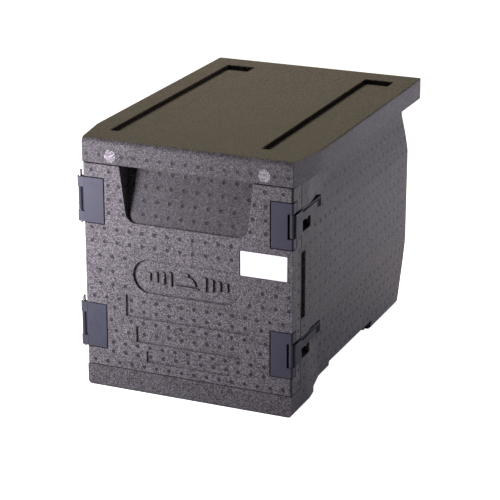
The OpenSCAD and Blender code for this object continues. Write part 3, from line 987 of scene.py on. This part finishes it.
def hinge_arm():
    """The fixed arm, from its knuckle back along the side wall to its anchor."""
    inner, outer = HALF_W - 4, HALF_W + 0.3
    solids = [
        prism(ring_outline(HINGE_X, HINGE_Y, 4.6), -22, 22, 0.6),
        prism(outline([(inner, HINGE_Y - 2), (HINGE_X, HINGE_Y - 2), (HINGE_X, HINGE_Y + 5.5, 1.5),
                       (outer, HINGE_Y + 5.5), (outer, FRAME_Y - 1), (inner, FRAME_Y - 1)]), -22, 22, 0.6),
        prism(box_outline(inner, outer, FRAME_Y - 4, ARM_END, 0.8), ARM_Z0, ARM_Z1, 0.6),
        prism(ring_outline(BAR_X, BAR_Y, 3.6), ARM_Z0, ARM_Z1, 0.4)]
    for i in range(4):
        rib_y = ARM_END - 5 - 5 * i
        rib = box_outline(HALF_W - 1, HALF_W + 0.3, rib_y - 1.4, rib_y, 0.3)
        solids.append(prism(rib, ARM_Z0 + 1.5, ARM_Z1 - 1.5, 0.2))
    holes = [prism(ring_outline(HINGE_X, HINGE_Y, 3 + PLAY), -60, 60, 0),
             prism(ring_outline(BAR_X, BAR_Y, 2 + PLAY), -60, 60, 0)]
    return solids, holes


# %% [markdown]
# A pin is turned on a lathe, so it is drawn as half a profile and spun: chamfered ends, and on the
# hinge pins a groove near the top, to draw them out by.

# %% Turned pins, and the hinges mounted
def turned_pin(name, x, y, radius, z0, z1, groove=0.0, sides=24):
    """A pin turned on a lathe: chamfered ends, and a groove below the top if asked for."""
    edge = 0.35 * radius
    profile = [(0, z0), (radius - edge, z0), (radius, z0 + edge)]
    if groove:
        g = z1 - groove
        profile += [(radius, g - 1.1), (radius - 0.6, g - 0.7), (radius - 0.6, g + 0.3), (radius, g + 0.7)]
    profile += [(radius, z1 - edge), (radius - edge, z1 - 0.15), (0, z1)]
    form = bmesh.new()
    rings = []
    for r, z in profile:
        if r == 0:
            rings.append([form.verts.new((x * MM, y * MM, z * MM))])
        else:
            around = ring_outline(x, y, r, sides)
            rings.append([form.verts.new((p.x * MM, p.y * MM, z * MM)) for p in around])
    for low, high in zip(rings, rings[1:]):
        for i in range(sides):
            j = (i + 1) % sides
            corners = [low[i % len(low)], low[j % len(low)], high[j % len(high)], high[i % len(high)]]
            form.faces.new(list(dict.fromkeys(corners)))
    bmesh.ops.recalc_face_normals(form, faces=form.faces)
    return mesh_object(name, form)


for level, zc in LEVELS:
    plate, arm, pin = f"hinge_plate_{level}", f"hinge_arm_{level}", f"hinge_pin_{level}"
    mounted(joined(plate + "_nylon", *hinge_plate()), plate, blue_nylon, -1, zc)
    mounted(joined(arm + "_nylon", *hinge_arm()), arm, dark_nylon, -1, zc)
    turned = turned_pin(pin + "_steel", HINGE_X, HINGE_Y, 3.0, -PLATE_E - 4, PLATE_E + 12, groove=4.0)
    mounted(turned, pin, pin_steel, -1, zc)

# %% [markdown]
# A lever turns between two blocks on its plate. Its cheek lies beside the door, and its arm
# reaches back into a tray, with a nose on the inside for the steel bar and ribs for the thumb.

# %% Latch plates, levers and pins
def latch_plate():
    """A corner plate with a block above and below the lever."""
    solids = [prism(corner_plate(), -PLATE_E, PLATE_E, 0.6)]
    for z0, z1 in ((-PLATE_E, -KNUCKLE), (KNUCKLE, PLATE_E)):
        block = box_outline(HALF_W - 8.4, HALF_W + 0.4, FACE_Y, FACE_Y + 13.4, 3.2)
        solids.append(prism(block, z0, z1, 0.6))
    holes = [prism(ring_outline(LATCH_X, LATCH_Y, 2 + PLAY), -60, 60, 0),
             prism(box_outline(HALF_W - 10.5, HALF_W + 1, FACE_Y - 1, FACE_Y + 20), -KNUCKLE, KNUCKLE, 0)]
    return solids, holes


def latch_lever():
    """A round bar at the corner, a cheek beside the door and an arm that reaches back."""
    inner, outer = HALF_W + 0.6, LATCH_X + 6.7
    grip = HALF_W - 4.6
    cheek = outline([(inner, LATCH_Y), (outer, LATCH_Y), (outer - 1, FRAME_Y - 1, 2),
                     (inner, FRAME_Y - 1, 1)])
    nose = [(grip, BAR_Y + 5), (grip - 0.8, BAR_Y + 4.5), (grip - 0.8, BAR_Y + 3), (grip, BAR_Y + 2.5),
            (grip, BAR_Y - 2.5), (grip - 0.8, BAR_Y - 3), (grip - 0.8, BAR_Y - 4.5), (grip, BAR_Y - 5)]
    arm = outline([(inner, LATCH_Y), (outer, LATCH_Y), (outer - 1, FRAME_Y), (HALF_W + 0.2, ARM_END, 1.2),
                   (grip, ARM_END, 1.2), *nose, (grip, FRAME_Y + 3.2), (inner, FRAME_Y - 0.2)])
    solids = [prism(ring_outline(LATCH_X, LATCH_Y, 6.7, 48), -22, 22, 1.0),
              prism(cheek, -21.4, 21.4, 0.8), prism(arm, ARM_Z0, ARM_Z1, 0.8)]
    for i in range(4):
        rib_y = ARM_END - 3 - 5 * i
        rib = box_outline(HALF_W - 1, HALF_W + 1.6, rib_y - 1.6, rib_y, 0.5)
        solids.append(prism(rib, ARM_Z0 + 1, ARM_Z1 - 1, 0.3))
    return solids, [prism(ring_outline(LATCH_X, LATCH_Y, 2 + PLAY), -60, 60, 0)]


for level, zc in LEVELS:
    plate, lever, pin = f"latch_plate_{level}", f"latch_lever_{level}", f"latch_pin_{level}"
    mounted(joined(plate + "_nylon", *latch_plate()), plate, slate_nylon, 1, zc)
    mounted(joined(lever + "_nylon", *latch_lever()), lever, dark_nylon, 1, zc)
    turned = turned_pin(pin + "_steel", LATCH_X, LATCH_Y, 2.0, -PLATE_E + 1, PLATE_E - 1)
    mounted(turned, pin, pin_steel, 1, zc)

# %% [markdown]
# ## Trays in the side walls
#
# Behind each corner, a nylon tray is set into the foam. On the right a lever's nose springs over
# the steel bar that stands in it; on the left the hinge arm is held by the same bar.

# %% Trays and their steel bars
TRAY_Z0, TRAY_Z1 = -1.2, 19.7
TRAY_WALL = 2.5
TRAY_FACE = HALF_W - 0.2
TRAY_Y0, TRAY_STEP, TRAY_Y1 = FRAME_Y + 0.8, FRAME_Y + 51.5, FRAME_Y + 97.0


def tray():
    """A shallow open box, deeper at its front, with holes for the steel bar."""
    deep, shallow = HALF_W - 14, HALF_W - 8
    solids = [prism(box_outline(deep, TRAY_FACE, TRAY_Y0, TRAY_STEP, 0.8), TRAY_Z0, TRAY_Z1, 0.4),
              prism(box_outline(shallow, TRAY_FACE, TRAY_STEP - 4, TRAY_Y1, 0.8), TRAY_Z0, TRAY_Z1, 0.4)]
    z0, z1 = TRAY_Z0 + TRAY_WALL, TRAY_Z1 - TRAY_WALL
    y0 = TRAY_Y0 - 1
    holes = [prism(box_outline(deep + TRAY_WALL, HALF_W + 1, y0, TRAY_STEP - TRAY_WALL), z0, z1, 0),
             prism(box_outline(shallow + TRAY_WALL, HALF_W + 1, y0, TRAY_Y1 - TRAY_WALL), z0, z1, 0),
             prism(ring_outline(BAR_X, BAR_Y, 2 + PLAY), -60, 60, 0)]
    return solids, holes


for level, zc in LEVELS:
    keeper, anchor = f"latch_keeper_{level}", f"hinge_anchor_{level}"
    keeper_pin, anchor_pin = f"latch_keeper_pin_{level}", f"hinge_anchor_pin_{level}"
    mounted(joined(keeper + "_nylon", *tray()), keeper, dark_nylon, 1, zc)
    mounted(joined(anchor + "_nylon", *tray()), anchor, dark_nylon, -1, zc)
    bar = turned_pin(keeper_pin + "_steel", BAR_X, BAR_Y, 2.0, -9, TRAY_Z1 + 1.8)
    mounted(bar, keeper_pin, pin_steel, 1, zc)
    bar = turned_pin(anchor_pin + "_steel", BAR_X, BAR_Y, 2.0, TRAY_Z0, TRAY_Z1 + 1.8)
    mounted(bar, anchor_pin, pin_steel, -1, zc)

# %% [markdown]
# ## The label card
#
# A white wipe-clean card fills the label recess, so that the kitchen can write what is inside.

# %% Label card
card_lo, card_hi = (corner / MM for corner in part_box("label_card"))
face = box_outline(card_lo.x, card_hi.x, card_lo.z, card_hi.z, 1.5)
card = mesh_object("label_card_film", stood_up(face, card_lo.y, card_hi.y, 0.15))
card.data.materials.append(label_film)
smooth_shading(card)
settle(card, "label_card")

# %% [markdown]
# ## The floor
#
# The floor is a broad pale disc that belongs to the studio, not to the carrier. It lies a hair below
# the feet, so that no two faces share one plane.

# %% Lay the floor
floor_form = bmesh.new()
bmesh.ops.create_circle(floor_form, cap_ends=True, segments=96, radius=30,
                        matrix=Matrix.Translation((0, 0, -0.5 * MM)))
floor = mesh_object("floor", floor_form)
floor_paint = bpy.data.materials.new("floor_paint")
floor_paint.use_nodes = True
floor_shader = floor_paint.node_tree.nodes["Principled BSDF"]
floor_shader.inputs["Base Color"].default_value = (0.9, 0.9, 0.9, 1)
floor_shader.inputs["Roughness"].default_value = 0.9
floor_shader.inputs["Emission Color"].default_value = (1, 1, 1, 1)
lens_only = plug(floor_paint.node_tree, "LightPath").outputs["Is Camera Ray"]
floor_paint.node_tree.links.new(lens_only, floor_shader.inputs["Emission Strength"])
floor.data.materials.append(floor_paint)
